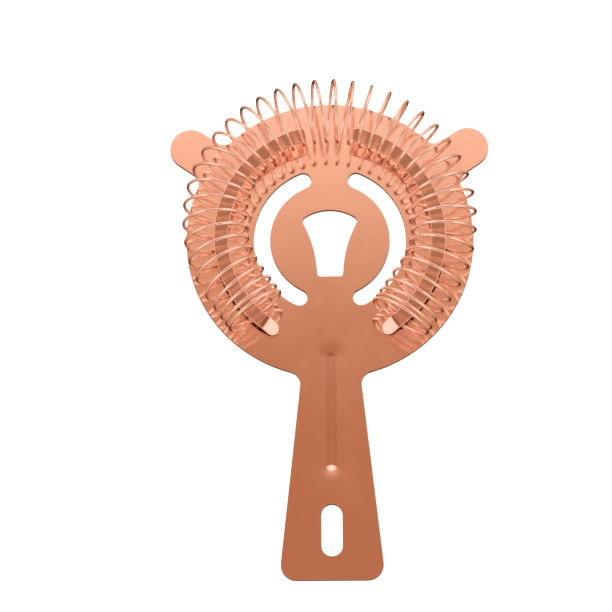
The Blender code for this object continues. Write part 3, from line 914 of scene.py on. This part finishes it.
wire = bmesh.new()
wire.from_mesh(baked)
cap_edges = [e for e in wire.edges if e.calc_face_angle(0.0) > CAP_ANGLE]
bmesh.ops.bevel(wire, geom=cap_edges, offset=WIRE_END_BEVEL, segments=3, profile=0.5,
                affect="EDGES")
coil = finished_object("wound_spring", wire)
coil.data.materials.append(wire_finish)
print("triangles in the spring:", sum(len(p.vertices) - 2 for p in coil.data.polygons))

# %% [markdown]
# ## Joining the pieces to the frame
#
# Each new piece stands for one solid of the frame, gets a finish of its own and rides on its
# body. The spring rides on the moving body.

# %% Ride and replace
plate.data.materials.append(plate_finish)
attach(plate, "plate")
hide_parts("strainer_plate")
for side, arm in arms.items():
    arm.data.materials.append(arm_finish)
    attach(arm, "plate")
    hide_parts(f"retaining_arm_{side}")

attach(coil, "spring")
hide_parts("coil_spring")
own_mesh(coil)

# %% [markdown]
# ## The stage
#
# Polished metal has hardly any look of its own: it shows what stands round it. In a studio it
# is lit by large soft boxes with a darker gap between them, and that gap is the deeper tone
# in the flat faces. Here the sky is that studio. One long soft box stands at the front, one
# at each side and one behind, and a warm gap lies overhead. The table is dark right below
# the metal and lighter further off. The floor is plain and pale, and lies outside what the
# metal mirrors.

# %% The floor
FLOOR_SIZE = 6.0
FLOOR_GAP = 0.02 * MM
floor_mesh = bpy.data.meshes.new("floor")
corner = FLOOR_SIZE / 2
floor_mesh.from_pydata(
    [(-corner, -corner, 0), (corner, -corner, 0), (corner, corner, 0), (-corner, corner, 0)],
    [], [(0, 1, 2, 3)])
floor = bpy.data.objects.new("floor", floor_mesh)
bpy.context.scene.collection.objects.link(floor)
floor.location.z = plate_low.z - FLOOR_GAP
floor.visible_glossy = False
floor_paint = bpy.data.materials.new("pale_floor")
floor_paint.use_nodes = True
floor_shader = floor_paint.node_tree.nodes["Principled BSDF"]
floor_shader.inputs["Base Color"].default_value = (0.95, 0.95, 0.95, 1)
floor_shader.inputs["Roughness"].default_value = 0.9
floor_shader.inputs["Specular IOR Level"].default_value = 0.1
floor_shader.inputs["Emission Color"].default_value = (1, 1, 1, 1)
floor_shader.inputs["Emission Strength"].default_value = 0.35
floor_mesh.materials.append(floor_paint)

# %% [markdown]
# The soft boxes are one long gradient. Its position is the angle from straight overhead
# towards the front, so a stop at 19 degrees is a line across the studio's ceiling. A second
# angle, towards the sides, dims the gradient a little and then brings in the side boxes. The
# height over the horizon fades everything to the table. One tint warms the whole studio, and
# only what the metal mirrors has it.

# %% The studio sky
SKY_STRENGTH = 2.0
SKY_TINT = (1.0, 0.904, 0.859)
TABLE_NEAR = (0.10, 0.04, 0.02)
TABLE_FAR = (0.75, 0.50, 0.34)
SIDE_BOX = (1.20, 1.03, 0.93)
TABLE_EDGE = (math.radians(-70), math.radians(-25))
SIDE_EDGE = (math.radians(24), math.radians(36))
SIDE_DIM = (math.radians(3), math.radians(8))
HORIZON_EDGE = (math.radians(-5), math.radians(22))
CEILING = {
    -75: (1.00, 0.80, 0.66), -45: (1.30, 1.12, 1.00), -30: (0.70, 0.45, 0.32),
    -15: (0.32, 0.11, 0.04), -5: (0.30, 0.093, 0.029), 5: (0.36, 0.15, 0.07),
    11: (0.45, 0.24, 0.147), 14.9: (0.49, 0.215, 0.117), 16.9: (0.52, 0.235, 0.125),
    17.7: (0.545, 0.26, 0.145), 18.5: (0.74, 0.42, 0.265), 19.0: (0.92, 0.59, 0.41),
    19.5: (1.04, 0.69, 0.50), 20.2: (1.30, 0.95, 0.82), 24: (1.45, 1.25, 1.15),
    60: (1.50, 1.30, 1.20), 80: (1.00, 0.75, 0.60),
}
GAP_COLOUR = CEILING[-5]
SIDE_DIM_SHARE = 0.22
WHITE = (1.0, 1.0, 1.0)


def sky_colour(rgb, tint=SKY_TINT):
    """A sky colour with its tint, as the gradient and the mixes hold it."""
    return (*(c * t / SKY_STRENGTH for c, t in zip(rgb, tint)), 1.0)


def sky_mix(tree, factor, first, second):
    """Mix two colours, each a colour or a node's output."""
    node = tree.nodes.new("ShaderNodeMix")
    node.data_type = "RGBA"
    tree.links.new(factor, node.inputs["Factor"])
    for socket, value in ((node.inputs["A"], first), (node.inputs["B"], second)):
        if isinstance(value, bpy.types.NodeSocket):
            tree.links.new(value, socket)
        else:
            socket.default_value = value
    return node.outputs["Result"]


world = bpy.data.worlds.new("studio")
bpy.context.scene.world = world
world.use_nodes = True
sky = world.node_tree
split = sky.nodes.new("ShaderNodeSeparateXYZ")
sky.links.new(sky.nodes.new("ShaderNodeTexCoord").outputs["Generated"], split.inputs[0])
to_front = calc(sky, "ARCSINE", clamped(sky, split.outputs["Y"], -1, 1))
to_side = calc(sky, "ARCSINE", clamped(sky, calc(sky, "ABSOLUTE", split.outputs["X"]), 0, 1))
over_table = calc(sky, "ARCSINE", clamped(sky, split.outputs["Z"], -1, 1))

ceiling = sky.nodes.new("ShaderNodeValToRGB")
sky.links.new(calc(sky, "MULTIPLY_ADD", to_front, 1 / math.pi, 0.5), ceiling.inputs["Fac"])
stops = ceiling.color_ramp.elements
while len(stops) > 1:
    stops.remove(stops[-1])
for number, (angle, rgb) in enumerate(CEILING.items()):
    stop = stops[0] if number == 0 else stops.new(0.5 + angle / 180)
    stop.position = 0.5 + angle / 180
    stop.color = sky_colour(rgb)
boxes_in = ranged(sky, to_side, *SIDE_EDGE, 0.0, 1.0)
lit = ranged(sky, over_table, *HORIZON_EDGE, 0.0, 1.0)
dimmed = ranged(sky, to_side, *SIDE_DIM, 0.0, SIDE_DIM_SHARE)
studio = sky_mix(sky, dimmed, ceiling.outputs["Color"], sky_colour(GAP_COLOUR))
studio = sky_mix(sky, boxes_in, studio, sky_colour(SIDE_BOX))
far = ranged(sky, over_table, *TABLE_EDGE, 0.0, 1.0)
table = sky_mix(sky, far, sky_colour(TABLE_NEAR), sky_colour(TABLE_FAR))
studio = sky_mix(sky, lit, table, studio)
glossy = sky.nodes.new("ShaderNodeLightPath").outputs["Is Glossy Ray"]
studio = sky_mix(sky, glossy, sky_colour(WHITE, tint=WHITE), studio)
sky.links.new(studio, sky.nodes["Background"].inputs["Color"])
sky.nodes["Background"].inputs["Strength"].default_value = SKY_STRENGTH
print("stops in the ceiling gradient:", len(stops))

# %% A soft lamp for the floor alone
LAMP_SIZE = 1.6
LAMP_HEIGHT = 1.6
LAMP_POWER = 20.0

lamp = bpy.data.lights.new("soft_lamp", "AREA")
lamp.shape = "DISK"
lamp.size = LAMP_SIZE
lamp.energy = LAMP_POWER
lamp_object = bpy.data.objects.new("soft_lamp", lamp)
lamp_object.location = (0, 0, LAMP_HEIGHT)
lamp_object.visible_glossy = False
bpy.context.scene.collection.objects.link(lamp_object)

# %% [markdown]
# ## The camera
#
# The view is a long-lens one from above the handle, tilted a little from straight down, so
# that the plate keeps its shape and the coil still shows its height.

# %% Camera
FOCAL_LENGTH = 318.6
SENSOR_WIDTH = 36.0
CAMERA_TILT = math.radians(17.785)
CAMERA_ROLL = math.radians(-0.447)
CAMERA_YAW = math.radians(0.344)
CAMERA_OFFSET = Vector((6.76, 18.74, -1531.68)) * MM

camera = bpy.data.cameras.new("camera")
camera.lens = FOCAL_LENGTH
camera.sensor_width = SENSOR_WIDTH
camera.clip_start = 0.05
camera.clip_end = 20.0
camera_object = bpy.data.objects.new("camera", camera)
camera_object.rotation_mode = "ZYX"
camera_object.rotation_euler = (CAMERA_TILT, CAMERA_YAW, CAMERA_ROLL)
turned = camera_object.rotation_euler.to_matrix()
camera_object.location = Vector((0, DISC_Y, FACE_Z)) - turned @ CAMERA_OFFSET
bpy.context.scene.collection.objects.link(camera_object)
bpy.context.scene.camera = camera_object
bpy.context.scene.view_settings.view_transform = "Standard"
print("camera at", [round(v, 3) for v in camera_object.location])
